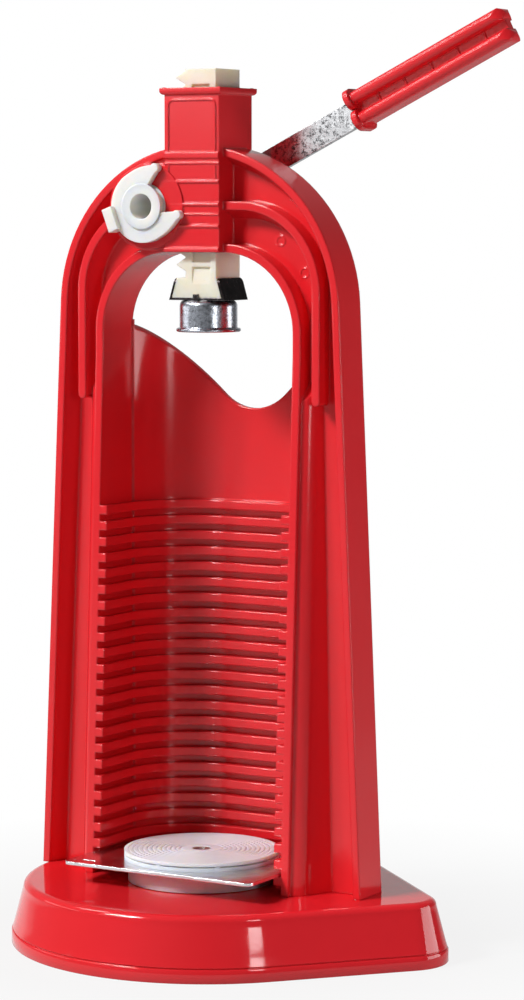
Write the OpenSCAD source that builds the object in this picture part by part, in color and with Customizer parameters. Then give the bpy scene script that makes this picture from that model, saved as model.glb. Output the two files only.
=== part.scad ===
// Bench capper: a lever and pinion drive a toothed plunger with a crown bell at its foot.
// Millimetres. The origin is on the capping axis at the floor, +Z up, the lever side is +X, the front is -Y.

/* [Base] */
// radius of the round part of the foot at the floor
base_r = 117; // [112:1:135]
// height of the flat top of the foot above the floor
base_h = 37; // [28:1:50]
// how far the wall leans in between the floor and the top
base_lean = 7.5; // [3:0.5:12]
// how far the centre of the spur's round end lies to the right of the capping axis
spur_x = 126; // [100:1:140]
// how far the centre of the spur's round end lies behind the capping axis
spur_y = 6; // [0:0.5:12]
// radius of the spur's round end at the floor
spur_r = 27; // [18:1:40]
// wall thickness of the foot
base_wall = 4; // [3:0.5:6]
// rounding of the top edge
base_round = 4; // [2:0.5:7]
// height of the band on the bottom cover
band_h = 8; // [6:0.5:10]

/* [Column] */
// outer radius of the arch
arch_r = 95; // [92:1:105]
// height of the arch centre above the floor, which the head and the bay's roof follow
arch_z = 375; // [360:1:395]
// half width of the column where it meets the foot
foot_half = 110; // [104:1:112]
// thickness of the outer rim
rim_t = 4.5; // [3:0.5:6]
// how far the ridges stand in front of the capping axis
front_y = 14; // [12:0.5:16]
// how far the outer rim reaches behind the capping axis
rim_back = 12; // [8:1:16]
// depth of the recess between the ridges
recess = 11.5; // [6:0.5:13]
// thickness of the recess panel
panel_t = 3.5; // [2.5:0.5:5]
// half width inside the middle ridge
mid_half = 77.5; // [76:0.5:80]
// height of the middle ridge's inner edge above the arch centre
mid_rise = 57.5; // [54:0.5:60]
// corner radius of the middle ridge
mid_corner = 47.5; // [35:0.5:60]
// how far below the arch centre the middle ridge ends on the pillar
mid_drop = 52; // [40:1:70]
// thickness of the middle and inner ridges
ridge_t = 5; // [3:0.5:6]
// how far the pillars lean forward at the foot
lean = 13.5; // [4:0.5:18]
// how far below the arch centre the pillars begin to lean
lean_drop = 25; // [18:1:40]

/* [Bay] */
// half width of the bay
bay_half = 65; // [60:0.5:66]
// height of the bay's roof above the arch centre
bay_rise = 33; // [31:0.5:35]
// corner radius of the bay's roof
bay_corner = 46; // [30:1:50]
// distance from the capping axis to the inside of the bay's back
bay_back = 52; // [48:1:60]
// corner radius of the bay's back
back_corner = 45; // [30:1:46]
// wall thickness behind the bay
back_t = 3.5; // [2.5:0.5:5]
// how far the lowest point of the window in the back lies below the arch centre
window_drop = 61.5; // [55:0.5:75]
// radius of the window's lowest part
window_r = 31; // [20:1:40]
// slope of the window's flanks in degrees
window_slope = 43; // [35:1:50]

/* [Ribs] */
// height of the lowest rib's top above the foot
rib_first = 11.3; // [9:0.1:14]
// spacing of the ribs
rib_pitch = 9.5; // [9:0.1:12]
// thickness of a rib
rib_t = 5.3; // [3:0.1:6]
// how far a rib stands into the bay
rib_d = 5; // [3.5:0.5:5]
// number of ribs
rib_n = 23; // [10:1:24]

/* [Head] */
// half width of the square head block
block_half = 18.5; // [18:0.5:20]
// height of the head block's top above the arch centre
block_rise = 128; // [124:1:134]
// thickness of the flange round the top of the block
flange_t = 4; // [3:0.5:6]
// how far the flange stands out
flange_out = 2.2; // [1.4:0.1:2.6]
// radius of the pinion boss
boss_r = 25.2; // [25:0.1:26.5]
// how far the boss face stands in front of the capping axis
boss_front = 19.5; // [19:0.5:21]

/* [Rack and pinion] */
// gear module
gear_m = 2.65; // [2.5:0.05:2.7]
// number of pinion teeth
gear_n = 15; // [14:1:15]
// pressure angle in degrees
gear_angle = 30; // [25:1:30]
// play between the teeth at the pitch line
backlash = 0.8; // [0.6:0.05:1]
// height of the pinion's axis above the arch centre
pivot_rise = 59.5; // [58:0.5:61]
// distance from the capping axis to the rack's pitch line
pitch_line = 10.85; // [10.5:0.05:11]
// half depth of the rack
rack_half = 13.5; // [11:0.5:13.5]
// right side of the rack
rack_right = 13.2; // [12:0.1:13.4]
// height of the rack's top above the arch centre
rack_rise = 139; // [136:1:146]
// radius of the pinion's front hub
hub_r = 13.3; // [12.5:0.1:14]
// radius of the hole in the front hub
hub_hole = 7.4; // [4:0.1:8]
// how far the hub's end stands in front of the capping axis
hub_front = 25.5; // [25.3:0.1:28]
// sliding clearance of the rack in the head block
slide_gap = 0.4; // [0.3:0.05:0.6]
// radial clearance of the pinion's bearings
bearing_gap = 0.08; // [0.04:0.01:0.1]

/* [Plunger foot and bell] */
// height of the foot's shoulder above the arch centre
foot_rise = 18; // [16:0.5:19]
// height of the dovetail foot
foot_h = 11.5; // [9:0.5:14]
// half width of the dovetail at its top
tail_top = 13.4; // [12:0.1:14]
// half width of the dovetail at its bottom
tail_low = 16.8; // [16:0.1:18]
// sheet thickness of the bell bracket
sheet_t = 1.5; // [1:0.1:2]
// outer radius of the bell
bell_r = 17; // [16.5:0.5:19]
// height of the bell
bell_h = 18.6; // [17:0.1:22]
// radius of the bell's flared rim
bell_rim = 19; // [18.9:0.1:21]
// radius of the crimping throat
throat_r = 14.4; // [13:0.1:14.5]
// rounding of the bell's top edge
bell_round = 3.5; // [2:0.5:4]

/* [Lever] */
// angle of the lever above level at rest, in degrees
lever_angle = 26; // [10:1:35]
// height of the lever bar's section
bar_h = 15.5; // [12:0.5:16]
// thickness of the lever bar
bar_t = 3.5; // [3:0.5:5]
// how far the bar's middle lies below the line through the pivot
bar_drop = 1; // [0:0.1:1.2]
// how far the lever bar's front lies behind the capping axis
bar_y = 30; // [28:0.5:34]
// distance from the pivot to the grip's collar
grip_from = 125; // [118:1:150]
// length of the grip
grip_len = 110; // [90:1:130]
// height of the grip's section
grip_h = 20.5; // [20:0.5:26]
// depth of the grip's section
grip_d = 18; // [15:0.5:22]

/* [Tray] */
// thickness of the tray plate
plate_t = 2; // [1.5:0.1:2.5]
// how far the rest's centre is drawn forward of the capping axis
tray_out = 8.5; // [2:0.5:12]
// distance from the rest's centre to the plate's front edge
plate_front = 52.5; // [48:0.5:65]
// radius of the rest disc
rest_r = 46; // [38:0.5:46]
// height of the rest above the plate
rest_h = 5.3; // [4.5:0.1:7]
// radius of the disc under the plate
under_r = 43.7; // [32:0.5:45]
// gap between the lower disc and the foot
under_gap = 0.4; // [0.3:0.1:1]

/* [Hidden] */
$fn = 96;
eps = 0.05;
cut = 1;
// colours as the object shows them
red = [0.86, 0.12, 0.13];
white = [0.93, 0.92, 0.89];
steel = [0.78, 0.79, 0.80];
dark = [0.12, 0.12, 0.13];
zinc = [0.62, 0.63, 0.65];

// foot: the neck is the shadow line between the band and the shell
neck_h = 0.5;
neck_in = 1;
shell_z = band_h + neck_h;
cover_t = 3;
band_out = 0.7;
lean_rate = base_lean / (base_h - shell_z);

// foot screws
cover_at = [[62, 62], [-62, 62], [62, -62], [-62, -62]];
pad_r = 8;
pad_h = 6;
cover_shank = 2;
cover_head = 4.6;
cover_head_h = 2.6;
cover_len = 16;
cover_sink = 0.5;
hole_gap = 0.1;
column_shank = 2.5;
column_head = 4.6;
column_head_h = 3.2;
column_len = 18;
back_boss_r = 6.5;
back_boss_h = 22;

// heights that follow the arch centre
mid_top = arch_z + mid_rise;
mid_end = arch_z - mid_drop;
lean_top = arch_z - lean_drop;
bay_top = arch_z + bay_rise;
window_low = arch_z - window_drop;
block_top = arch_z + block_rise;
pivot_z = arch_z + pivot_rise;
rack_top = arch_z + rack_rise;
foot_top = arch_z + foot_rise;

// column
taper = atan((foot_half - arch_r) / (arch_z - base_h));
panel_y = -front_y + recess;
rim_lap = 0.5;
// the ridges' feet run out into the panel in coves
cove = 5;
cove_top = 1.2;
// the corner between boss, rim and head block is filled nearly to the front
gusset_in = 2;
pillar_half = mid_half + ridge_t;
plateau = 2.5;
lean_rate_y = lean / (lean_top - base_h);
lean_angle = atan(lean_rate_y);
// the pillar's outer corner is rounded and its side is drawn out towards the panel
pillar_round = 10;
pillar_draft = 26.6;
pillar_in = 2;
side_lap = 0.2;
core_wall = 3.5;
core_y = panel_y - core_wall;
core_w = 4.5;
core_out = bay_half + ridge_t + core_w;
core_low = base_h + 30;
wall_back = block_half;
bay_far = bay_back + 4 * lean + plate_front;
column_at = [
  [(bay_half + pillar_half) / 2 + 1, -front_y - 2],
  [-(bay_half + pillar_half) / 2 - 1, -front_y - 2],
  [bay_half - 13, bay_back - 5],
  [-bay_half + 13, bay_back - 5]
];
window_top = window_low + window_r * (1 - 1 / cos(window_slope))
  + (bay_half + back_t + cut) * tan(window_slope);

// round moulding marks on the panel: right of the axis and above the arch centre
mark_at = [[50.5, 39.7], [66.5, 21.5]];
mark_r = 3.2;
mark_in = 2.3;
mark_out = 0.3;

// head
bore_left = pitch_line + gear_m + 0.8;
bore_right = rack_right + slide_gap;
bore_half = rack_half + slide_gap;
// raised lines across the block's front: rise above the bay's roof, and thickness
line_out = 1.1;
lip_t = 3;
bead_t = 2.2;
hair_t = 1.4;
thick_t = 4.2;
low_line = 14;
hair_line = 21.2;
mid_line = 26.6;
high_line = 39.8;
small_line = 50.7;
thick_line = 54;
block_lines = [[0, lip_t], [low_line, bead_t], [hair_line, hair_t], [mid_line, bead_t],
  [high_line, bead_t], [small_line, hair_t], [thick_line, thick_t]];
// bead that frames the two bare panels on the block's front
frame_half = block_half - 2;
frame_w = 1;
frame_out = 0.6;
frame_corner = 4;
frame_drop = 6.5;

// rack and pinion
pi_ = 3.14159265;
pitch_r = gear_m * gear_n / 2;
pitch_z = pi_ * gear_m;
pivot_x = -pitch_line - pitch_r;
tip_r = pitch_r + 0.92 * gear_m;
root_r = pitch_r - 1.27 * gear_m;
base_circle = pitch_r * cos(gear_angle);
tooth_drop = 5;
tooth_top = rack_top - tooth_drop;
rack_tip = pitch_line + gear_m;
rack_root = pitch_line - 1.27 * gear_m;
rack_count = floor((tooth_top - foot_top) / pitch_z) + 1;
tooth_half = pitch_z / 4 - backlash / 4;
mesh_angle = (tooth_top - pivot_z) / pitch_r * 180 / pi_;
gear_bore = tip_r + slide_gap;
boss_wall = boss_front - rack_half - slide_gap;
rack_pocket = 1.5;
rack_web = rack_half - rack_pocket;
pocket_left = -3;
pocket_right = 9.2;
cap_show = 2;
rack_cap = rack_top - block_top - cap_show;
rack_rib = [foot_top + 6.5, foot_top + 9];
ramp_low = foot_top - 4;

// pinion ends
journal_r = 11;
drive = 12;
drive_gap = 0.06;
clip_t = 4.4;
clip_back = boss_front + slide_gap;
groove_r = hub_r - 1.4;
groove_gap = 0.15;
cover_y = wall_back;
cover_plate = 4;
cover_r = boss_r + 5;
rear_at = [75, 155, 235];
rear_pcd = boss_r + 0.6;
rear_shank = 1.5;
rear_head = 3;
rear_head_h = 2;
rear_len = 14;

// lever
bar_back = bar_y + bar_t;
eye_r = 14.5;
washer_r = 9;
washer_t = 1.5;
lever_shank = 3;
lever_head = 6;
lever_head_h = 4;
lever_len = 24;
bar_end = grip_from + grip_len - 10;
collar_t = 3.5;
collar_out = 2.5;
lobe_h = 7.6;
groove_core = 6;
web_t = 1.2;
web_n = 5;
web_d = groove_core + 1.2;
grip_notch = 1.5;
grip_dome = 8;

// clip: angles are measured from its own mirror axis
clip_turn = lever_angle + 3;
clip_r = 21.2;
horn_r = 23.9;
horn_tip = 2.6;
horn_at = 40.5;
horn_root = 48;
horn_end = 100;
horn_out = 32;
horn_shift = 11.1;
tab_turn = 8;
tab_from = 18;
tab_to = 24.5;
tab_half = 7;
tab_out = 4;

// plunger foot
tail_z = foot_top - foot_h;
tail_rate = (tail_low - tail_top) / foot_h;
sheet_x = sheet_t * sqrt(1 + tail_rate * tail_rate);
bell_z = tail_z - sheet_t - bell_h;
bell_roof = 2;
lip_h = 2.2;
rivet_r = 2.5;
rivet_head = 4.2;
rivet_head_h = 1.2;
rivet_slot = rivet_head + 1.2;
rivet_slot_h = rivet_head_h + 1;
magnet_r = 9;
magnet_t = 3;
throat_top = bell_h - bell_roof - magnet_t - rivet_head_h - hole_gap;
stop_half = 1.6;
stop_h = 3.6;
flap_corner = 3;

// tray
plate_z = base_h + rib_first;
plate_gap = 1;
plate_corner = 4.5;
slot_in = 9;
slot_back = 9;
slot_len = 7;
slot_r = 1.3;
rest_y = -tray_out;
rest_z = plate_z + plate_t;
ring_t = 2.3;
groove_t = 0.8;
groove_in = 2.4;
top_t = rest_h - ring_t - groove_t;
ring_n = 12;
ring_step = 2.8;
ring_edge = 2.6;
ring_marks = [for (k = [0:ring_n - 1]) rest_r - ring_edge - k * ring_step];
mark_w = 1;
mark_d = 0.5;
bridge_n = 8;
bridge_a = 4;
rest_shank = 3;
rest_head = 5.5;
rest_head_h = 1.6;

// Helpers

// draws a front outline (x, z) as a slab from y0 to y1
module along_y(y0, y1) {
  translate([0, y1, 0]) rotate([90, 0, 0]) linear_extrude(y1 - y0) children();
}

// draws a side outline (y, z) as a slab from x0 to x1
module along_x(x0, x1) {
  translate([x0, 0, 0]) rotate([90, 0, 90]) linear_extrude(x1 - x0) children();
}

module both_sides() {
  children();
  mirror([1, 0, 0]) children();
}

// rectangle between two corners
module box_2d(x0, z0, x1, z1) {
  translate([x0, z0]) square([x1 - x0, z1 - z0]);
}

// doorway outline: straight sides and two rounded upper corners
module door_2d(half, top, corner, low) {
  box_2d(-half, low, half, top - corner);
  box_2d(-half + corner, low, half - corner, top);
  for (s = [-1, 1]) translate([s * (half - corner), top - corner]) circle(corner);
}

// plan of the foot, grown by out
module base_2d(out) {
  hull() {
    circle(base_r + out);
    translate([spur_x, spur_y]) circle(spur_r + out);
  }
}

// half section of one round end of the foot, with its top edge rounded
module base_profile(r) {
  top_r = r - base_lean;
  translate([0, shell_z]) polygon([
    [0, 0],
    [r, 0],
    [top_r + base_round * lean_rate, base_h - shell_z - base_round],
    [0, base_h - shell_z - base_round]
  ]);
  square_r = top_r - base_round;
  box_2d(0, shell_z, square_r, base_h);
  translate([square_r + base_round * lean_rate * 0.7, base_h - base_round]) circle(base_round, $fn = 32);
}

// solid of the foot's outside
module base_solid() {
  hull() {
    rotate_extrude() intersection() {
      base_profile(base_r);
      box_2d(0, shell_z, base_r, base_h);
    }
    translate([spur_x, spur_y, 0]) rotate_extrude() intersection() {
      base_profile(spur_r);
      box_2d(0, shell_z, spur_r, base_h);
    }
  }
}

// hollow of the foot
module base_hollow() {
  h = base_h - base_wall - shell_z;
  translate([0, 0, shell_z]) hull() {
    translate([0, 0, -cut])
      cylinder(h = h + cut, r1 = base_r - base_wall, r2 = base_r - base_wall - base_lean);
    translate([spur_x, spur_y, -cut])
      cylinder(h = h + cut, r1 = spur_r - base_wall, r2 = spur_r - base_wall - base_lean);
  }
}

// outline of the column, inset by a wall
module arch_2d(inset) {
  r = arch_r - inset;
  foot = r / cos(taper) + (arch_z - base_h) * tan(taper);
  translate([0, arch_z]) circle(r);
  polygon([
    [-foot, base_h],
    [foot, base_h],
    [r * cos(taper), arch_z + r * sin(taper)],
    [-r * cos(taper), arch_z + r * sin(taper)]
  ]);
}

module bay_2d(out) {
  door_2d(bay_half + out, bay_top + out, bay_corner + out, base_h);
}

module mid_2d(out) {
  door_2d(mid_half + out, mid_top + out, mid_corner + out, mid_end);
}

// plan of the space between the bay's sides, grown by out, from the line y0 backwards
module bay_plan(out, y0) {
  half = bay_half + out;
  back = bay_back + out;
  r = back_corner + out;
  intersection() {
    union() {
      box_2d(-half, -bay_far, half, back - r);
      box_2d(-half + r, -bay_far, half - r, back);
      for (s = [-1, 1]) translate([s * (half - r), back - r]) circle(r);
    }
    box_2d(-half, y0, half, back);
  }
}

// window in the back of the bay, seen from the front
module window_2d() {
  reach = bay_half + back_t + cut;
  low = window_low + window_r;
  translate([0, low]) circle(window_r);
  polygon([
    [window_r * sin(window_slope), low - window_r * cos(window_slope)],
    [reach, window_top],
    [reach, bay_top],
    [-reach, bay_top],
    [-reach, window_top],
    [-window_r * sin(window_slope), low - window_r * cos(window_slope)]
  ]);
}

// front of the inner ridge at a height
function ridge_y(z) = -front_y - max(0, lean_top - z) * lean_rate_y;

// side outline of everything behind the leaning front, set back by a step
module leaning_2d(step, top, back) {
  polygon([
    [ridge_y(base_h) + step, base_h],
    [ridge_y(top) + step, top],
    [back, top],
    [back, base_h]
  ]);
}

// the pillar's face ends in a slope that runs back to the panel
module pillar_2d() {
  polygon([
    [ridge_y(base_h) + plateau, base_h],
    [ridge_y(mid_end) + plateau, mid_end],
    [panel_y, mid_end + recess],
    [panel_y + panel_t, mid_end + recess],
    [panel_y + panel_t, base_h]
  ]);
}

// plan of the pillar's outside, its front edge at y = plateau behind the inner ridge's front
module pillar_plan() {
  x = bay_half + ridge_t - pillar_in;
  y = plateau + pillar_round;
  reach = bay_back + y;
  from = pillar_round - side_lap;
  side_x = x + from * cos(pillar_draft);
  side_y = y - from * sin(pillar_draft);
  translate([x, y]) circle(pillar_round);
  box_2d(bay_half, plateau, x, reach);
  polygon([
    [x, y],
    [side_x, side_y],
    [side_x + (reach - side_y) * tan(pillar_draft), reach],
    [x, reach]
  ]);
}

module pillar() {
  tall = mid_end + recess - base_h;
  intersection() {
    along_x(bay_half + cut, pillar_half + 2 * cove) pillar_2d();
    translate([0, ridge_y(base_h), base_h]) rotate([-lean_angle, 0, 0]) translate([0, 0, -recess])
      linear_extrude(tall + 2 * recess) pillar_plan();
  }
  along_x(bay_half, bay_half + ridge_t) leaning_2d(0, lean_top, 0);
}

module pillar_core() {
  along_x(bay_half + ridge_t + cut, core_out)
    polygon([
      [core_y, core_low],
      [core_y, mid_end - recess],
      [wall_back, mid_end - recess],
      [wall_back, core_low]
    ]);
}

// carries a section (u outwards, y) round a doorway outline
module door_sweep(half, top, corner, low) {
  both_sides() {
    translate([half, 0, low]) linear_extrude(top - corner - low) children();
    translate([half - corner, 0, top - corner]) rotate([90, 0, 0])
      rotate_extrude(angle = 90) translate([corner, 0]) mirror([0, 1]) children();
    along_x(-eps, half - corner) translate([0, top]) mirror([1, -1]) children();
  }
}

// section of a cove that runs inwards from an upright side at u
module cove_2d(u) {
  back = u + rim_lap;
  polygon([[back, -front_y + cove_top], [u - cove, panel_y + rim_lap], [back, panel_y + rim_lap]]);
}

// coves at the inner feet of the outer rim and of the middle ridge
module coves() {
  inside = arch_r - rim_t;
  intersection() {
    union() {
      translate([0, 0, arch_z]) rotate([90, 0, 0]) rotate([0, 0, taper])
        rotate_extrude(angle = 180 - 2 * taper) mirror([0, 1]) cove_2d(inside);
      both_sides() translate([0, 0, arch_z]) rotate([0, -taper, 0]) translate([0, 0, -arch_z])
        linear_extrude(arch_z) cove_2d(inside);
    }
    along_y(-front_y, panel_y + panel_t) arch_2d(rim_t / 2);
  }
  door_sweep(mid_half, mid_top, mid_corner, mid_end) cove_2d(0);
}

module ribs() {
  intersection() {
    union() {
      for (k = [0:rib_n - 1])
        translate([0, 0, base_h + rib_first - rib_t + k * rib_pitch]) linear_extrude(rib_t) difference() {
          bay_plan(cut, ridge_y(base_h));
          bay_plan(-rib_d, ridge_y(base_h) - cut);
        }
    }
    along_x(-bay_half - cut, bay_half + cut) leaning_2d(eps, lean_top, bay_back + cut);
  }
}

// wall behind the bay, cut down by the window
module bay_shell() {
  difference() {
    translate([0, 0, base_h]) linear_extrude(window_top - base_h) difference() {
      bay_plan(back_t, wall_back - cut);
      bay_plan(0, wall_back - 2 * cut);
    }
    along_y(wall_back, bay_back + back_t + cut) window_2d();
  }
}

// raised round-edged line across the head block's front
module block_line(z, t) {
  r = min(line_out, t / 2);
  along_x(-block_half, block_half) {
    box_2d(-block_half - r, z + r - eps, -block_half + cut, z + t - r + eps);
    for (h = [z + r, z + t - r]) translate([-block_half, h]) circle(r, $fn = 32);
  }
}

// bead round a bare panel, open at its lower edge
module block_frame(low, top, corner) {
  along_y(-block_half - frame_out, -block_half + cut) difference() {
    door_2d(frame_half, top, corner, low);
    door_2d(frame_half - frame_w, top - frame_w, corner - frame_w, low - cut);
  }
}

// side outline of the block and of the rounded flange round its top
module block_2d() {
  box_2d(-block_half, bay_top, block_half, block_top);
  flange_z = block_top - flange_t + flange_out;
  box_2d(-block_half - flange_out, flange_z, block_half + flange_out, block_top);
  for (s = [-1, 1]) translate([s * block_half, flange_z]) circle(flange_out, $fn = 48);
}

module head_block() {
  reach = block_half + flange_out + cut;
  intersection() {
    along_y(-reach, reach) block_2d();
    along_x(-reach, reach) block_2d();
  }
  for (l = block_lines) block_line(bay_top + l[0], l[1]);
  block_frame(bay_top + thick_line + thick_t - cut, block_top - frame_drop, frame_corner);
  block_frame(bay_top + high_line + cut, bay_top + small_line + hair_t, frame_w + cut);
}

// pinion boss: round in front, fuller behind, where the rear cover is screwed on
module boss() {
  along_y(-boss_front, wall_back) intersection() {
    translate([pivot_x, pivot_z]) circle(boss_r);
    arch_2d(rim_t - rim_lap);
  }
  along_y(panel_y, wall_back) intersection() {
    translate([pivot_x, pivot_z]) circle(cover_r);
    difference() {
      arch_2d(0);
      bay_2d(0);
    }
  }
}

// fills the corner between boss, rim and head block
module gusset() {
  along_y(-front_y + gusset_in, panel_y + cut) intersection() {
    box_2d(pivot_x, pivot_z, -block_half + cut, arch_z + arch_r);
    arch_2d(rim_t - rim_lap);
  }
}

module moulding_marks() {
  along_y(panel_y - mark_out, panel_y + cut) for (p = mark_at) translate([p[0], arch_z + p[1]]) difference() {
    circle(mark_r);
    circle(mark_in);
  }
}

function rear_x(a) = pivot_x + rear_pcd * cos(a);
function rear_z(a) = pivot_z + rear_pcd * sin(a);

// turns a cylinder to lie along +Y at (x, z), from y0 to y1
module rod_y(x, z, y0, y1, r) {
  translate([x, y1, z]) rotate([90, 0, 0]) cylinder(h = y1 - y0, r = r);
}

// outline of one pinion tooth flank: involute points from the base circle to the tip
tip_roll = sqrt(pow(tip_r / base_circle, 2) - 1) * 180 / pi_;
flank_steps = 6;
involute_pitch = tan(gear_angle) * 180 / pi_ - gear_angle;
gear_half = (pitch_z / 4 - backlash / 4) / pitch_r * 180 / pi_ + involute_pitch;
function roll_r(t) = base_circle * sqrt(1 + pow(t * pi_ / 180, 2));
function roll_a(t) = t - atan(t * pi_ / 180);
function polar(r, a) = [r * cos(a), r * sin(a)];
function flank_roll(i) = tip_roll * i / flank_steps;
function tooth(a) = concat(
  [polar(root_r, a - gear_half)],
  [for (i = [0:flank_steps]) let (t = flank_roll(i)) polar(roll_r(t), a - gear_half + roll_a(t))],
  [for (i = [flank_steps:-1:0]) let (t = flank_roll(i)) polar(roll_r(t), a + gear_half - roll_a(t))],
  [polar(root_r, a + gear_half)]
);

module gear_2d() {
  polygon([for (k = [0:gear_n - 1]) each tooth(mesh_angle + 180 / gear_n + k * 360 / gear_n)]);
}

// rack outline: teeth point to -X
function rack_tooth(z) = let (
    low = tooth_half + 1.27 * gear_m * tan(gear_angle),
    high = tooth_half - gear_m * tan(gear_angle)
  ) [[-rack_root, z + low], [-rack_tip, z + high], [-rack_tip, z - high], [-rack_root, z - low]];

module rack_2d() {
  polygon(concat(
    [[rack_right, foot_top - cut], [rack_right, rack_top], [-rack_root, rack_top]],
    [for (k = [0:rack_count - 1]) each rack_tooth(tooth_top - k * pitch_z)],
    [[-rack_root, foot_top - cut]]
  ));
}

// Base

module base_shell() {
  color(red) difference() {
    union() {
      difference() {
        base_solid();
        base_hollow();
      }
      for (p = cover_at)
        translate([p[0], p[1], pad_h]) cylinder(h = base_h - base_wall / 2 - pad_h, r = pad_r);
    }
    for (p = cover_at)
      translate([p[0], p[1], pad_h - cut]) cylinder(h = cover_len + cut, r = cover_shank + hole_gap);
    for (p = column_at)
      translate([p[0], p[1], base_h - base_wall - cut])
        cylinder(h = base_wall + 2 * cut, r = column_shank + hole_gap);
  }
}

module base_cover() {
  color(red) difference() {
    union() {
      linear_extrude(cover_t) base_2d(band_out - cut);
      linear_extrude(band_h) difference() {
        base_2d(band_out);
        base_2d(-base_wall);
      }
      linear_extrude(shell_z) difference() {
        base_2d(-neck_in);
        base_2d(-base_wall);
      }
      for (p = cover_at) translate([p[0], p[1], 0]) cylinder(h = pad_h, r = pad_r);
    }
    for (p = cover_at) translate([p[0], p[1], -cut]) {
      cylinder(h = cover_head_h + cover_sink + cut, r = cover_head + 2 * hole_gap);
      cylinder(h = pad_h + 2 * cut, r = cover_shank + hole_gap);
    }
  }
}

module cover_screws() {
  color(zinc) for (p = cover_at) translate([p[0], p[1], cover_sink]) difference() {
    union() {
      cylinder(h = cover_head_h, r = cover_head);
      cylinder(h = cover_len, r = cover_shank);
    }
    translate([0, 0, -cut]) cylinder(h = cut + 1.4, r = 2, $fn = 6);
  }
}

// Column

module column() {
  color(red) {
    difference() {
      union() {
        along_y(-front_y, rim_back) difference() {
          arch_2d(0);
          arch_2d(rim_t);
        }
        along_y(panel_y, panel_y + panel_t) arch_2d(rim_t / 2);
        along_y(-front_y, panel_y + cut) difference() {
          mid_2d(ridge_t);
          mid_2d(0);
        }
        along_y(-front_y, wall_back) difference() {
          bay_2d(ridge_t);
          bay_2d(-cut);
        }
        both_sides() rod_y(mid_half + ridge_t / 2, mid_end, -front_y, panel_y + cut, ridge_t / 2 - eps);
        both_sides() pillar();
        head_block();
        boss();
        gusset();
        moulding_marks();
        coves();
      }
      along_y(-front_y - lean - cut, wall_back) bay_2d(0);
      both_sides() pillar_core();
      translate([-bore_left, -bore_half, bay_top - cut])
        cube([bore_left + bore_right, 2 * bore_half, block_top - bay_top + 2 * cut]);
      rod_y(pivot_x, pivot_z, -boss_front + boss_wall, wall_back + cut, gear_bore);
      rod_y(pivot_x, pivot_z, -boss_front - cut, 0, hub_r + bearing_gap);
      for (a = rear_at)
        rod_y(rear_x(a), rear_z(a), wall_back - rear_len, wall_back + cut, rear_shank + hole_gap);
      for (p = column_at)
        translate([p[0], p[1], base_h - cut]) cylinder(h = column_len + cut, r = column_shank + hole_gap);
    }
    difference() {
      union() {
        bay_shell();
        for (p = [column_at[2], column_at[3]])
          translate([p[0], p[1], base_h]) cylinder(h = back_boss_h, r = back_boss_r);
      }
      translate([0, 0, base_h - cut]) linear_extrude(back_boss_h + 2 * cut) bay_plan(0, 0);
      for (p = column_at)
        translate([p[0], p[1], base_h - cut]) cylinder(h = column_len + cut, r = column_shank + hole_gap);
    }
    ribs();
  }
}

module column_screws() {
  color(zinc) for (p = column_at) translate([p[0], p[1], base_h - base_wall]) difference() {
    union() {
      translate([0, 0, -column_head_h]) cylinder(h = column_head_h, r = column_head);
      cylinder(h = column_len, r = column_shank);
    }
    translate([0, 0, -column_head_h - cut]) cylinder(h = cut + 1.8, r = 2.2, $fn = 6);
  }
}

module rear_cover() {
  color(red) difference() {
    union() {
      along_y(cover_y, cover_y + cover_plate) intersection() {
        translate([pivot_x, pivot_z]) circle(cover_r - cut);
        difference() {
          arch_2d(cut);
          bay_2d(cut);
        }
      }
      rod_y(pivot_x, pivot_z, rack_half + slide_gap + eps, cover_y + eps, gear_bore - hole_gap);
    }
    rod_y(pivot_x, pivot_z, 0, cover_y + cover_plate + cut, journal_r + bearing_gap);
    for (a = rear_at)
      rod_y(rear_x(a), rear_z(a), 0, cover_y + cover_plate + cut, rear_shank + hole_gap);
  }
}

module rear_cover_screws() {
  top = cover_y + cover_plate;
  color(zinc) for (a = rear_at) difference() {
    union() {
      rod_y(rear_x(a), rear_z(a), top, top + rear_head_h, rear_head);
      rod_y(rear_x(a), rear_z(a), top - rear_len, top + eps, rear_shank);
    }
    translate([rear_x(a), top + rear_head_h + cut, rear_z(a)]) rotate([90, 0, 0])
      cylinder(h = cut + 1.2, r = 1.4, $fn = 6);
  }
}

// Lever

module pinion() {
  color(white) difference() {
    union() {
      along_y(-rack_half, rack_half) translate([pivot_x, pivot_z]) gear_2d();
      difference() {
        rod_y(pivot_x, pivot_z, -hub_front, -rack_half + cut, hub_r);
        along_y(-clip_back - clip_t - groove_gap, -clip_back + groove_gap) difference() {
          translate([pivot_x, pivot_z]) circle(hub_r + cut);
          translate([pivot_x, pivot_z]) circle(groove_r);
        }
      }
      rod_y(pivot_x, pivot_z, rack_half - cut, bar_y, journal_r);
      translate([pivot_x, bar_y - cut, pivot_z]) rotate([0, -lever_angle, 0])
        translate([-drive / 2, 0, -drive / 2]) cube([drive, bar_t - slide_gap + cut, drive]);
    }
    rod_y(pivot_x, pivot_z, -hub_front - cut, 0, hub_hole);
    rod_y(pivot_x, pivot_z, bar_back - lever_len, bar_back + cut, lever_shank + hole_gap);
  }
}

// one horn of the clip, with a rounded tip, on the upper side of the mirror axis
module horn_2d() {
  intersection() {
    translate(polar(horn_shift, horn_end + 185)) circle(horn_out);
    polygon([
      polar(groove_r - cut, horn_end),
      polar(groove_r - cut, horn_root),
      polar(horn_r - horn_tip * 0.6, horn_at - 4.2),
      polar(horn_r, horn_at),
      polar(2 * clip_r, horn_at + 2),
      polar(2 * clip_r, horn_end)
    ]);
  }
  translate(polar(horn_r, horn_at)) circle(horn_tip);
}

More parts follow.
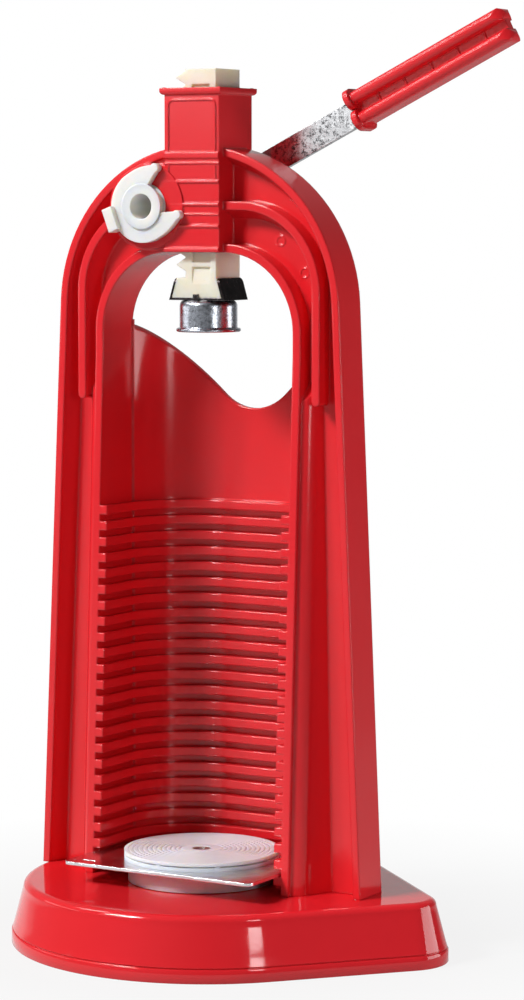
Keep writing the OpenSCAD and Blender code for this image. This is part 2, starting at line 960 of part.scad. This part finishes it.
module clip_2d() {
  difference() {
    union() {
      difference() {
        circle(clip_r);
        polygon([[0, 0], polar(2 * clip_r, 62), [2 * clip_r, 0], polar(2 * clip_r, -62)]);
      }
      horn_2d();
      mirror([0, 1]) horn_2d();
    }
    circle(groove_r + groove_gap);
  }
}

module retaining_clip() {
  color(white) translate([pivot_x, 0, pivot_z]) rotate([0, -clip_turn, 0]) {
    along_y(-clip_back - clip_t, -clip_back) clip_2d();
    along_y(-clip_back - clip_t - tab_out, -clip_back) rotate(-tab_turn) intersection() {
      box_2d(-tab_to, -tab_half, -tab_from, tab_half);
      circle(tab_to + cut);
    }
  }
}

// places a lever piece drawn level, with its pivot at the origin
module on_lever() {
  translate([pivot_x, 0, pivot_z]) rotate([0, -lever_angle, 0]) children();
}

module lever_bar() {
  color(steel) on_lever() along_y(bar_y, bar_back) difference() {
    union() {
      circle(eye_r);
      box_2d(0, -bar_h / 2 - bar_drop, bar_end, bar_h / 2 - bar_drop);
    }
    side = drive / 2 + drive_gap;
    box_2d(-side, -side, side, side);
  }
}

// section of the grip: two round-ended lobes, grown by out
module lobes_2d(out) {
  r = lobe_h / 2 + out;
  for (s = [-1, 1]) translate([0, s * (grip_h - lobe_h) / 2]) {
    box_2d(-grip_d / 2 + lobe_h / 2, -r, grip_d / 2 - lobe_h / 2, r);
    for (e = [-1, 1]) translate([e * (grip_d - lobe_h) / 2, 0]) circle(r);
  }
}

// side outline of the grip: two lobes with round ends and the core between them
module grip_2d(end) {
  box_2d(grip_from, -grip_h / 4, end - grip_notch, grip_h / 4);
  for (s = [-1, 1]) translate([0, s * (grip_h - lobe_h) / 2]) {
    box_2d(grip_from, -lobe_h / 2, end - lobe_h / 2, lobe_h / 2);
    translate([end - lobe_h / 2, 0]) circle(lobe_h / 2);
  }
}

module lever_grip() {
  mid = bar_y + bar_t / 2;
  end = grip_from + grip_len;
  step = (grip_len - 2 * grip_dome) / web_n;
  color(red) on_lever() translate([0, mid, 0]) difference() {
    union() {
      intersection() {
        union() {
          along_x(grip_from, end) lobes_2d(0);
          along_x(grip_from, end - grip_notch)
            box_2d(-groove_core / 2, -grip_h / 4, groove_core / 2, grip_h / 4);
          for (k = [1:web_n])
            along_x(grip_from + k * step - web_t, grip_from + k * step)
              box_2d(-web_d / 2, -grip_h / 4, web_d / 2, grip_h / 4);
        }
        along_y(-grip_d, grip_d) grip_2d(end);
        translate([0, 0, -grip_h]) linear_extrude(2 * grip_h) union() {
          box_2d(grip_from, -grip_d / 2, end - grip_dome, grip_d / 2);
          box_2d(grip_from, -grip_d / 2 + grip_dome, end, grip_d / 2 - grip_dome);
          for (s = [-1, 1]) translate([end - grip_dome, s * (grip_d / 2 - grip_dome)]) circle(grip_dome);
        }
      }
      along_x(grip_from, grip_from + collar_t) lobes_2d(collar_out);
    }
    along_x(grip_from - cut, bar_end + hole_gap)
      box_2d(-bar_t / 2 - hole_gap, -bar_h / 2 - bar_drop - hole_gap,
        bar_t / 2 + hole_gap, bar_h / 2 - bar_drop + hole_gap);
  }
}

module lever_washer() {
  color(zinc) difference() {
    rod_y(pivot_x, pivot_z, bar_back, bar_back + washer_t, washer_r);
    rod_y(pivot_x, pivot_z, bar_back - cut, bar_back + washer_t + cut, lever_shank + hole_gap);
  }
}

module lever_screw() {
  seat = bar_back + washer_t;
  color(zinc) {
    translate([pivot_x, seat + lever_head_h, pivot_z]) rotate([90, 0, 0])
      cylinder(h = lever_head_h, r = lever_head, $fn = 6);
    rod_y(pivot_x, pivot_z, seat - lever_len, seat + eps, lever_shank);
  }
}

// Plunger

module tail_2d(grow, low, top) {
  polygon([
    [-tail_low - tail_rate * (tail_z - low) - grow, low],
    [tail_low + tail_rate * (tail_z - low) + grow, low],
    [tail_top + tail_rate * (foot_top - top) + grow, top],
    [-tail_top - tail_rate * (foot_top - top) - grow, top]
  ]);
}

module rack_plunger() {
  color(white) difference() {
    union() {
      along_y(-rack_half, rack_half) rack_2d();
      along_y(-rack_half, rack_half) tail_2d(0, tail_z, foot_top);
    }
    for (s = [-1, 1]) translate([0, s * (rack_half + rack_web) / 2, 0])
      translate([pocket_left, -(rack_half - rack_web) / 2, rack_rib[1]])
        cube([pocket_right - pocket_left, rack_half - rack_web + eps, rack_top - rack_cap - rack_rib[1]]);
    for (s = [0, 1]) mirror([0, s, 0]) along_x(pocket_left, pocket_right) polygon([
      [-rack_half - eps, ramp_low],
      [-rack_web, rack_rib[0]],
      [-rack_half - cut, rack_rib[0]],
      [-rack_half - cut, ramp_low]
    ]);
    translate([pocket_left, -rack_half - cut, rack_rib[1]])
      cube([pocket_right - pocket_left, 2 * cut, rack_top - rack_cap - rack_rib[1]]);
    translate([-rivet_slot, -rivet_slot, tail_z - cut])
      cube([2 * rivet_slot, rack_half + rivet_slot + cut, rivet_slot_h + cut]);
  }
}

module bell_bracket() {
  color(dark) difference() {
    union() {
      intersection() {
        along_y(-rack_half, rack_half) difference() {
          tail_2d(sheet_x, tail_z - sheet_t, foot_top);
          tail_2d(0, tail_z, foot_top + cut);
        }
        along_x(-2 * tail_low, 2 * tail_low) door_2d(rack_half, foot_top, flap_corner, tail_z - sheet_t);
      }
      translate([-stop_half, -rack_half - sheet_t, tail_z - sheet_t]) cube([2 * stop_half, sheet_t, stop_h]);
    }
    translate([0, 0, tail_z - sheet_t - cut]) cylinder(h = sheet_t + 2 * cut, r = rivet_r + hole_gap);
  }
}

// half section of the bell, its rim at height 0
module bell_2d() {
  fillet = bell_rim - bell_r - 0.6 * lip_h;
  difference() {
    union() {
      box_2d(0, 0, bell_r, bell_h - bell_round);
      box_2d(0, 0, bell_r - bell_round, bell_h);
      translate([bell_r - bell_round, bell_h - bell_round]) circle(bell_round);
      box_2d(0, 0, bell_rim - lip_h / 2, lip_h);
      translate([bell_rim - lip_h / 2, lip_h / 2]) circle(lip_h / 2);
      difference() {
        box_2d(0, lip_h / 2, bell_r + fillet, lip_h + fillet);
        translate([bell_r + fillet, lip_h + fillet]) circle(fillet);
      }
    }
    box_2d(-bell_r, -cut, throat_r, throat_top);
    box_2d(-bell_r, -cut, magnet_r + hole_gap, bell_h - bell_roof);
    polygon([
      [throat_r - cut, -cut],
      [bell_rim - lip_h, -cut],
      [throat_r, (bell_rim - throat_r) / 2],
      [throat_r - cut, (bell_rim - throat_r) / 2]
    ]);
    box_2d(-2 * bell_r, -cut, 0, bell_h + cut);
  }
}

module crown_bell() {
  color(steel) translate([0, 0, bell_z]) difference() {
    rotate_extrude() bell_2d();
    translate([0, 0, bell_h - bell_roof - cut]) cylinder(h = bell_roof + 2 * cut, r = rivet_r + hole_gap);
  }
}

module bell_magnet() {
  color(dark) translate([0, 0, bell_z + bell_h - bell_roof - magnet_t]) difference() {
    cylinder(h = magnet_t, r = magnet_r);
    translate([0, 0, -cut]) cylinder(h = magnet_t + 2 * cut, r = rivet_r + hole_gap);
  }
}

module bell_rivet() {
  low = bell_z + bell_h - bell_roof - magnet_t;
  color(zinc) {
    translate([0, 0, low - rivet_head_h]) cylinder(h = rivet_head_h, r = rivet_head);
    translate([0, 0, low - eps]) cylinder(h = tail_z - low + 2 * eps, r = rivet_r);
    translate([0, 0, tail_z]) cylinder(h = rivet_head_h, r = rivet_head);
  }
}

// Tray

module plate_2d() {
  half = bay_half - plate_gap;
  front = rest_y - plate_front;
  translate([0, rest_y]) bay_plan(-plate_gap, -plate_front + plate_corner);
  box_2d(-half + plate_corner, front, half - plate_corner, front + 2 * plate_corner);
  for (s = [-1, 1]) translate([s * (half - plate_corner), front + plate_corner]) circle(plate_corner);
}

module tray_plate() {
  color(steel) translate([0, 0, plate_z]) linear_extrude(plate_t) difference() {
    plate_2d();
    translate([0, rest_y]) circle(rest_shank + hole_gap);
    translate([-bay_half + plate_gap + slot_in, rest_y - plate_front + slot_back]) {
      box_2d(0, -slot_r, slot_len, slot_r);
      for (x = [0, slot_len]) translate([x, 0]) circle(slot_r);
    }
  }
}

module rest_ring() {
  gap = 360 / bridge_n - bridge_a;
  color(white) translate([0, rest_y, rest_z]) difference() {
    cylinder(h = ring_t + groove_t, r = rest_r);
    for (k = [0:bridge_n - 1]) rotate([0, 0, k * 360 / bridge_n]) rotate_extrude(angle = gap)
      box_2d(rest_r - groove_in, ring_t, rest_r + cut, ring_t + groove_t + cut);
    translate([0, 0, -cut]) cylinder(h = rest_h, r = rest_shank + hole_gap);
  }
}

module rest_disc() {
  color(white) translate([0, rest_y, rest_z + ring_t + groove_t]) difference() {
    cylinder(h = top_t, r = rest_r);
    for (r = ring_marks) translate([0, 0, top_t - mark_d]) difference() {
      cylinder(h = cut, r = r + mark_w / 2);
      translate([0, 0, -cut]) cylinder(h = 3 * cut, r = r - mark_w / 2);
    }
    translate([0, 0, -cut]) cylinder(h = top_t + 2 * cut, r = rest_shank + hole_gap);
    translate([0, 0, top_t - rest_head_h]) cylinder(h = rest_head_h + cut, r = rest_head + hole_gap);
  }
}

module under_disc() {
  low = base_h + under_gap;
  color(white) translate([0, rest_y, low]) difference() {
    cylinder(h = plate_z - low, r = under_r);
    translate([0, 0, -cut]) cylinder(h = plate_z - low - 2, r = under_r - 4);
    cylinder(h = plate_z - low + cut, r = rest_shank + hole_gap);
  }
}

module rest_screw() {
  top = rest_z + rest_h;
  color(zinc) translate([0, rest_y, 0]) difference() {
    union() {
      translate([0, 0, top - rest_head_h]) cylinder(h = rest_head_h - 0.3, r = rest_head);
      translate([0, 0, plate_z - 6]) cylinder(h = top - plate_z + 6 - rest_head_h + eps, r = rest_shank);
    }
    translate([0, 0, top - 1.2]) cylinder(h = 2, r = 2, $fn = 6);
  }
}

base_shell();
base_cover();
cover_screws();
column();
column_screws();
rear_cover();
rear_cover_screws();
pinion();
retaining_clip();
lever_bar();
lever_grip();
lever_washer();
lever_screw();
rack_plunger();
bell_bracket();
crown_bell();
bell_magnet();
bell_rivet();
tray_plate();
rest_ring();
rest_disc();
under_disc();
rest_screw();
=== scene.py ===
from math import acos, atan2, cos, hypot, pi, radians, sin

import bmesh
import bpy
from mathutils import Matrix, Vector


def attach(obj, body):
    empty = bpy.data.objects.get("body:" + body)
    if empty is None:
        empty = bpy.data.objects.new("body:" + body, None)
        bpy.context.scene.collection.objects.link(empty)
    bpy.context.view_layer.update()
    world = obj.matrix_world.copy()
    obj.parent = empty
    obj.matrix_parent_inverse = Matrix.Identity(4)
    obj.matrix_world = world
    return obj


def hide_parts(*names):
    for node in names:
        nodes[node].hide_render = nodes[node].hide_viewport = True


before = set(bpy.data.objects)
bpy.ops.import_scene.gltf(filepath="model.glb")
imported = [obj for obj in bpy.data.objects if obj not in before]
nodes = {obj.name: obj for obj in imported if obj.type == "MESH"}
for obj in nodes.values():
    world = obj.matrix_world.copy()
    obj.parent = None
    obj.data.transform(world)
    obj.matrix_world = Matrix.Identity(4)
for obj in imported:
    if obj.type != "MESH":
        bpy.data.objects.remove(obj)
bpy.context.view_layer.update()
scene = bpy.context.scene
MM = 0.001
WHITE = (1.0, 1.0, 1.0, 1.0)


# Node helpers

def is_socket(value):
    return isinstance(value, bpy.types.NodeSocket)


def feed(tree, socket, value):
    """Links an input to another node's output, or sets it to a plain value."""
    if is_socket(value):
        tree.links.new(value, socket)
    else:
        socket.default_value = value


def add_node(tree, kind, **inputs):
    """A new shader node; underscores in the names of its inputs stand for spaces."""
    node = tree.nodes.new("ShaderNode" + kind)
    for label, value in inputs.items():
        feed(tree, node.inputs[label.replace("_", " ")], value)
    return node


def calc(tree, operation, *values, kind="Math"):
    """The value of a math or vector math node, whose operands may be sockets."""
    node = add_node(tree, kind)
    node.operation = operation
    for socket, value in zip(node.inputs, values):
        feed(tree, socket, value)
    return node.outputs["Value"]


def axes(tree, vec):
    return add_node(tree, "SeparateXYZ", Vector=vec).outputs


def noise(tree, vec, scale, detail=3.0, rough=0.5, stretch=None):
    """A noise texture in metres, stretched along an axis if asked."""
    if stretch:
        vec = add_node(tree, "Mapping", Vector=vec, Scale=stretch).outputs["Vector"]
    node = add_node(tree, "TexNoise", Vector=vec, Scale=scale, Detail=detail, Roughness=rough)
    return node.outputs["Fac"]


def remap(tree, value, low, high, from_low=0.3, from_high=0.7):
    """Stretches one range of a value to another, clamped."""
    node = add_node(tree, "MapRange", Value=value, From_Min=from_low, From_Max=from_high,
                    To_Min=low, To_Max=high)
    return node.outputs["Result"]


def blend_colour(tree, share, a, b):
    """Mixes two colours, either of which may be a socket."""
    node = add_node(tree, "Mix")
    node.data_type = "RGBA"
    feed(tree, node.inputs["Factor"], share)
    for socket, colour in ((node.inputs[6], a), (node.inputs[7], b)):
        feed(tree, socket, colour if is_socket(colour) else (*colour, 1.0))
    return node.outputs[2]


def mix_shader(tree, share, a, b):
    """Goes from shader a to shader b."""
    node = add_node(tree, "MixShader")
    for socket, value in zip(node.inputs, (share, a, b)):
        feed(tree, socket, value)
    return node.outputs["Shader"]


def bump(tree, height, strength, distance, normal):
    """A bump from a height value, on top of another normal."""
    node = add_node(tree, "Bump", Strength=strength, Distance=distance, Height=height, Normal=normal)
    return node.outputs["Normal"]


def soft_edge(tree, radius):
    """The normal of edges eased over a small radius, which may be a socket."""
    node = add_node(tree, "Bevel", Radius=radius)
    node.samples = 6
    return node.outputs["Normal"]


def edge_mask(tree, eased):
    """Near 1 along edges, 0 on flat faces: how far the eased normal leaves the true one."""
    true_normal = add_node(tree, "NewGeometry").outputs["Normal"]
    agreement = calc(tree, "DOT_PRODUCT", eased, true_normal, kind="VectorMath")
    return remap(tree, agreement, 1.0, 0.0, 0.75, 0.99)


# Materials

RED = (0.73, 0.017, 0.026)
RED_DARK = (0.68, 0.015, 0.020)
# Paler red of the edges: partly wear, partly a painted edge highlight.
RED_WEAR_AND_HIGHLIGHT = (0.82, 0.05, 0.062)
GRIME = (0.35, 0.31, 0.25)
PIT = (0.05, 0.05, 0.055)
BLACK, BLACK_PALE = (0.030, 0.024, 0.025), (0.060, 0.050, 0.052)
# Pale grey of the bracket's edges: partly rubbed steel, partly a painted edge highlight.
RUBBED_AND_HIGHLIGHT = (0.55, 0.54, 0.53)
ALONG_X, ALONG_Z = (0.05, 1.0, 1.0), (1.0, 1.0, 0.05)
BLOCK_X, BLOCK_Y, BAY_TOP, ARCH_TOP = 19.5, 16.5, 400.0, 471.0
BROAD_EDGE, FINE_EDGE = 1.8, 1.1


def new_material(name):
    """A material with an empty node tree, its Principled shader and an object-space coordinate."""
    material = bpy.data.materials.new(name)
    material.use_nodes = True
    tree = material.node_tree
    tree.nodes.clear()
    shader = add_node(tree, "BsdfPrincipled")
    add_node(tree, "OutputMaterial", Surface=shader.outputs["BSDF"])
    return material, tree, shader.inputs, add_node(tree, "TexCoord").outputs["Object"]


def column_radius(tree, vec):
    """Edge radius of the column: fine on the head block's beads, broad on the ridges and ribs."""
    at = axes(tree, vec)
    forward = calc(tree, "LESS_THAN", at["Y"], -BLOCK_Y * MM)
    beside = calc(tree, "GREATER_THAN", at["X"], -BLOCK_X * MM)
    high = calc(tree, "GREATER_THAN", at["Z"], BAY_TOP * MM)
    above = calc(tree, "GREATER_THAN", at["Z"], ARCH_TOP * MM)
    in_front = calc(tree, "MULTIPLY", calc(tree, "MULTIPLY", forward, beside), high)
    on_block = calc(tree, "MAXIMUM", in_front, above)
    return remap(tree, on_block, BROAD_EDGE * MM, FINE_EDGE * MM, 0.0, 1.0)


def red_plastic(name, gloss, edge=None, peel_depth=0.04):
    """Glossy moulded plastic: faint flow marks, slight orange peel, and edges painted paler, partly
    as wear and partly as a painted edge highlight.
    """
    material, tree, shader, vec = new_material(name)
    eased = soft_edge(tree, edge * MM if edge else column_radius(tree, vec))
    flow = noise(tree, vec, 9.0, 3.0, 0.55, (1.0, 1.0, 0.45))
    cloud = noise(tree, vec, 34.0, 4.0, 0.6)
    peel = noise(tree, vec, 420.0, 2.0, 0.5)
    wave = noise(tree, vec, 38.0, 1.0, 0.4)
    tone = blend_colour(tree, remap(tree, flow, 0.0, 1.0), RED_DARK, RED)
    # Painted edge highlight mixed with wear: paler red along every edge, concave creases too.
    wear_and_highlight = calc(tree, "MULTIPLY", edge_mask(tree, eased), remap(tree, cloud, 0.0, 0.22))
    feed(tree, shader["Base Color"], blend_colour(tree, wear_and_highlight, tone, RED_WEAR_AND_HIGHLIGHT))
    feed(tree, shader["Roughness"], remap(tree, cloud, gloss - 0.03, gloss + 0.05))
    waved = bump(tree, wave, 0.06, 0.0015, eased)
    feed(tree, shader["Normal"], bump(tree, peel, peel_depth, 0.0002, waved))
    feed(tree, shader["Specular IOR Level"], 0.45)
    return material


def nylon(name, base, shade, edge=0.7):
    """Satin moulded nylon: creamy clouds, fine grain and a little light inside it."""
    material, tree, shader, vec = new_material(name)
    eased = soft_edge(tree, edge * MM)
    cloud = noise(tree, vec, 60.0, 4.0, 0.6)
    speck = noise(tree, vec, 700.0, 2.0, 0.6)
    tone = blend_colour(tree, remap(tree, cloud, 0.0, 0.8), base, shade)
    specked = blend_colour(tree, remap(tree, speck, 0.0, 0.12, 0.62, 0.8), tone, GRIME)
    feed(tree, shader["Base Color"], specked)
    feed(tree, shader["Roughness"], remap(tree, cloud, 0.34, 0.48))
    grained = bump(tree, speck, 0.08, 0.0002, eased)
    feed(tree, shader["Normal"], bump(tree, cloud, 0.08, 0.0006, grained))
    feed(tree, shader["Subsurface Weight"], 0.6)
    feed(tree, shader["Subsurface Radius"], (1.0, 0.72, 0.4))
    feed(tree, shader["Subsurface Scale"], 0.01)
    return material


def metal(name, base, shade, rough, grain=ALONG_Z, speckle=0.0, edge=0.4, ripple=0.0):
    """Plated or rolled steel: drawn grain, faint stains and, where asked, dark specks and ripples."""
    material, tree, shader, vec = new_material(name)
    eased = soft_edge(tree, edge * MM)
    lines = noise(tree, vec, 900.0, 3.0, 0.6, grain)
    stain = noise(tree, vec, 120.0, 4.0, 0.65)
    tone = blend_colour(tree, remap(tree, stain, 0.0, 0.7), base, shade)
    if speckle:
        pits = noise(tree, vec, 520.0, 5.0, 0.75)
        tone = blend_colour(tree, remap(tree, pits, 0.0, speckle, 0.49, 0.62), tone, PIT)
    normal = bump(tree, lines, 0.12, 0.00015, eased)
    if ripple:
        normal = bump(tree, noise(tree, vec, 650.0, 3.0, 0.6), ripple, 0.0004, normal)
    feed(tree, shader["Base Color"], tone)
    feed(tree, shader["Metallic"], 1.0)
    feed(tree, shader["Roughness"], remap(tree, stain, rough, rough + 0.14))
    feed(tree, shader["Normal"], normal)
    return material


def black_steel(name):
    """Dark plated sheet steel with scuffs and paler edges, partly rubbed and partly a painted edge
    highlight.
    """
    material, tree, shader, vec = new_material(name)
    eased = soft_edge(tree, 0.6 * MM)
    cloud = noise(tree, vec, 180.0, 4.0, 0.65)
    tone = blend_colour(tree, remap(tree, cloud, 0.0, 1.0), BLACK, BLACK_PALE)
    # Painted edge highlight mixed with rubbing: pale grey along every edge.
    wear_and_highlight = calc(tree, "MULTIPLY", edge_mask(tree, eased), remap(tree, cloud, 0.0, 0.8))
    feed(tree, shader["Base Color"], blend_colour(tree, wear_and_highlight, tone, RUBBED_AND_HIGHLIGHT))
    feed(tree, shader["Metallic"], 1.0)
    feed(tree, shader["Roughness"], remap(tree, cloud, 0.16, 0.3))
    feed(tree, shader["Normal"], bump(tree, cloud, 0.1, 0.0002, eased))
    return material


red = red_plastic("red_moulding", gloss=0.14)
red_foot = red_plastic("red_foot", gloss=0.06, edge=0.5)
red_grip = red_plastic("red_grip", gloss=0.2, edge=1.2, peel_depth=0.5)
white = nylon("white_nylon", (0.82, 0.81, 0.79), (0.77, 0.75, 0.70))
cream = nylon("cream_nylon", (0.80, 0.76, 0.66), (0.77, 0.69, 0.51))
white_rest = nylon("white_rest", (0.84, 0.84, 0.84), (0.78, 0.78, 0.79), edge=0.4)
plate_steel = metal("tray_steel", (0.78, 0.77, 0.79), (0.68, 0.67, 0.69), rough=0.14,
                    grain=ALONG_X, edge=0.7)
bell_steel = metal("bell_plating", (0.58, 0.61, 0.67), (0.38, 0.41, 0.48), rough=0.19,
                   speckle=0.6, ripple=0.16)
bar_steel = metal("bar_steel", (0.80, 0.81, 0.83), (0.66, 0.67, 0.69), rough=0.14,
                  grain=ALONG_X, speckle=0.95)
zinc_steel = metal("zinc_steel", (0.60, 0.60, 0.60), (0.50, 0.50, 0.47), rough=0.28)
black = black_steel("bracket_black")

LOOKS = (
    (red, ("column", "rear_cover")),
    (red_foot, ("base_shell", "base_cover")),
    (red_grip, ("lever_grip",)),
    (white, ("pinion", "retaining_clip")),
    (cream, ("rack_plunger",)),
    (white_rest, ("rest_ring", "rest_disc", "under_disc")),
    (plate_steel, ("tray_plate",)),
    (bell_steel, ("crown_bell",)),
    (bar_steel, ("lever_bar",)),
    (black, ("bell_bracket", "bell_magnet")),
    (zinc_steel, ("cover_screws", "column_screws", "rear_cover_screws", "lever_washer",
                  "lever_screw", "bell_rivet", "rest_screw")),
)
for look, names in LOOKS:
    for name in names:
        mesh = nodes[name].data
        mesh.materials.clear()
        mesh.materials.append(look)


# Foot: round with a spur, built as rings that follow the outline

BASE_R, SPUR_X, SPUR_Y, SPUR_R = 117.0, 126.0, 6.0, 27.0
BASE_H, BASE_LEAN = 37.0, 7.5
ROUND_H, ROUND_IN = 4.0, 4.3
BAND_H, BAND_OUT = 8.0, 0.7
NECK_H, NECK_IN = 0.4, 0.6
SHELL_EASE_H = 0.5
LOW_EASE_IN, LOW_EASE_H = 0.3, 0.4
TOP_EASE_IN, TOP_EASE_H = 0.4, 0.6
BODY_STEPS, SPUR_STEPS, SIDE_STEPS = 144, 48, 12
LEAN_STEPS, ROUND_STEPS = 8, 10
SHARP = radians(40)


def add_object(name, bm):
    """Links a new object made from a bmesh, which is freed."""
    mesh = bpy.data.meshes.new(name)
    bm.to_mesh(mesh)
    bm.free()
    obj = bpy.data.objects.new(name, mesh)
    scene.collection.objects.link(obj)
    return obj


def outline(inset):
    """Points of the foot's plan, inset, with the same count for every inset."""
    skew = atan2(SPUR_Y, SPUR_X)
    turn = acos((BASE_R - SPUR_R) / hypot(SPUR_X, SPUR_Y))
    first, last = skew + turn, skew + 2 * pi - turn
    body_r, spur_r = BASE_R - inset, SPUR_R - inset

    def on_body(a):
        return body_r * cos(a), body_r * sin(a)

    def on_spur(a):
        return SPUR_X + spur_r * cos(a), SPUR_Y + spur_r * sin(a)

    def between(p, q):
        shares = [i / SIDE_STEPS for i in range(1, SIDE_STEPS)]
        return [(p[0] + (q[0] - p[0]) * t, p[1] + (q[1] - p[1]) * t) for t in shares]

    points = [on_body(first + (last - first) * i / BODY_STEPS) for i in range(BODY_STEPS + 1)]
    points += between(on_body(last), on_spur(last))
    points += [on_spur(skew - turn + 2 * turn * i / SPUR_STEPS) for i in range(SPUR_STEPS + 1)]
    points += between(on_spur(first), on_body(first))
    return points


def ring_solid(name, profile):
    """A closed solid of rings of the outline; profile lists (inset, height) from the bottom up."""
    bm = bmesh.new()
    rings = []
    for inset, z in profile:
        rings.append([bm.verts.new((x * MM, y * MM, z * MM)) for x, y in outline(inset)])
    count = len(rings[0])
    for low, high in zip(rings, rings[1:]):
        for i in range(count):
            j = (i + 1) % count
            bm.faces.new((low[i], low[j], high[j], high[i]))
    bm.faces.new(list(reversed(rings[0])))
    bm.faces.new(rings[-1])
    bmesh.ops.recalc_face_normals(bm, faces=bm.faces)
    for face in bm.faces:
        face.smooth = len(face.verts) == 4
    for edge in bm.edges:
        edge.smooth = edge.calc_face_angle(0.0) <= SHARP
    return add_object(name, bm)


shell_z = BAND_H + NECK_H
round_z = BASE_H - ROUND_H
lean = BASE_LEAN / (BASE_H - shell_z)
shell_profile = [(NECK_IN, shell_z), (0.0, shell_z + SHELL_EASE_H)]
for i in range(1, LEAN_STEPS + 1):
    rise = (round_z - shell_z) * i / LEAN_STEPS
    shell_profile.append((lean * rise, shell_z + rise))
round_inset = lean * (round_z - shell_z)
for i in range(1, ROUND_STEPS + 1):
    a = pi / 2 * i / ROUND_STEPS
    shell_profile.append((round_inset + ROUND_IN * (1 - cos(a)), round_z + ROUND_H * sin(a)))
foot = ring_solid("foot_shell", shell_profile)
foot.data.materials.append(red_foot)
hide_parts("base_shell")
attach(foot, "frame")

band_profile = [
    (LOW_EASE_IN - BAND_OUT, 0.0), (-BAND_OUT, LOW_EASE_H),
    (-BAND_OUT, BAND_H - TOP_EASE_H), (TOP_EASE_IN - BAND_OUT, BAND_H),
    (NECK_IN, BAND_H), (NECK_IN, shell_z),
]
band = ring_solid("foot_band", band_profile)
band.data.materials.append(red_foot)
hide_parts("base_cover")
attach(band, "frame")


# Floor and backdrop: white to the eye, while reflections also show a dim room, darkest on the right

FLOOR_HALF, FLOOR_GREY = 6.0, (0.42, 0.42, 0.42, 1.0)
BACKDROP = Vector((-0.52, 0.85, -0.5))
PAPER, ROOM, DARK_SIDE, SKY = 0.9, 0.22, 0.3, 0.035
SHADOW_WHITE, SHADOW_REACH = 0.86, (0.14, 0.4)
PAPER_REACH, FLOOR_DARK_REACH = (0.3, 0.7), (-0.1, 0.4)
BACKDROP_REACH, ROOM_DARK_REACH = (0.7, 1.0), (0.0, 0.45)


def seen_rays(tree, mirrored):
    """How white the set is to a ray: fully to the camera, as much as mirrored to bounced rays."""
    path = add_node(tree, "LightPath").outputs
    bounced = calc(tree, "MAXIMUM", path["Is Glossy Ray"], path["Is Transmission Ray"])
    return calc(tree, "MAXIMUM", path["Is Camera Ray"], calc(tree, "MULTIPLY", bounced, mirrored))


bm = bmesh.new()
bmesh.ops.create_grid(bm, x_segments=1, y_segments=1, size=FLOOR_HALF)
floor = add_object("floor", bm)
pale, tree, shader, vec = new_material("pale_floor")
feed(tree, shader["Base Color"], FLOOR_GREY)
feed(tree, shader["Roughness"], 0.8)
reach = calc(tree, "LENGTH", vec, kind="VectorMath")
near = remap(tree, reach, SHADOW_WHITE, 1.0, *SHADOW_REACH)
dark = remap(tree, axes(tree, vec)["X"], 1.0, DARK_SIDE, *FLOOR_DARK_REACH)
paper = calc(tree, "MULTIPLY", remap(tree, reach, PAPER, ROOM, *PAPER_REACH), dark)
white_share = calc(tree, "MULTIPLY", near, seen_rays(tree, paper))
glow = add_node(tree, "Emission", Color=WHITE, Strength=1.0).outputs["Emission"]
output = tree.nodes["Material Output"].inputs["Surface"]
matt = output.links[0].from_socket
feed(tree, output, mix_shader(tree, white_share, matt, glow))
floor.data.materials.append(pale)

scene.world = bpy.data.worlds.new("studio")
scene.world.use_nodes = True
tree = scene.world.node_tree
tree.nodes.clear()
direction = add_node(tree, "TexCoord").outputs["Generated"]
facing = calc(tree, "DOT_PRODUCT", direction, BACKDROP, kind="VectorMath")
dark = remap(tree, axes(tree, direction)["X"], 1.0, DARK_SIDE, *ROOM_DARK_REACH)
room = calc(tree, "MULTIPLY", remap(tree, facing, ROOM, 1.0, *BACKDROP_REACH), dark)
sky = add_node(tree, "Background", Color=WHITE, Strength=SKY).outputs["Background"]
seen = add_node(tree, "Background", Color=WHITE, Strength=1.0).outputs["Background"]
add_node(tree, "OutputWorld", Surface=mix_shader(tree, seen_rays(tree, room), sky, seen))


# Lights: a key from the upper left front, then lamps and cards that show in the glossy faces

def area_light(name, at, aim, size, power):
    """A rectangular lamp at one point, aimed at another."""
    data = bpy.data.lights.new(name, "AREA")
    data.shape = "RECTANGLE"
    data.size, data.size_y = size
    data.energy = power
    obj = bpy.data.objects.new(name, data)
    obj.location = at
    obj.rotation_euler = (Vector(aim) - Vector(at)).to_track_quat("-Z", "Y").to_euler()
    scene.collection.objects.link(obj)


area_light("key", (-1.82, -3.42, 3.58), (0, 0, 0.28), (1.0, 1.0), 218.0)
area_light("edge_lamp", (-1.32, -1.45, 1.93), (0, 0, 0.40), (0.12, 0.6), 18.0)
area_light("grip_strip", (-1.15, -0.30, 1.42), (0.25, 0, 0.52), (0.3, 0.5), 4.5)
area_light("right_strip", (0.917, -0.58, 0.42), (0.05, 0, 0.10), (0.15, 0.26), 1.5)
area_light("right_box", (0.98, 0.42, 0.22), (0.05, 0, 0.10), (0.7, 0.42), 4.4)
area_light("left_card", (-1.41, -0.51, 0.38), (0, 0, 0.38), (0.9, 0.18), 1.4)
area_light("bar_card", (-0.80, -1.35, 0.62), (0, 0, 0.50), (0.5, 0.24), 0.6)


# Camera

LENS, SENSOR_H = 116.6, 36.0
CAMERA_AT = (0.9933, -1.6220, 0.4381)
CAMERA_DOWN, CAMERA_TURN = 5.287, 30.539

lens = bpy.data.cameras.new("camera")
lens.sensor_fit = "VERTICAL"
lens.sensor_height = SENSOR_H
lens.lens = LENS
camera = bpy.data.objects.new("camera", lens)
camera.location = CAMERA_AT
camera.rotation_euler = (radians(90 - CAMERA_DOWN), 0.0, radians(CAMERA_TURN))
scene.collection.objects.link(camera)
scene.camera = camera
scene.view_settings.view_transform = "Standard"
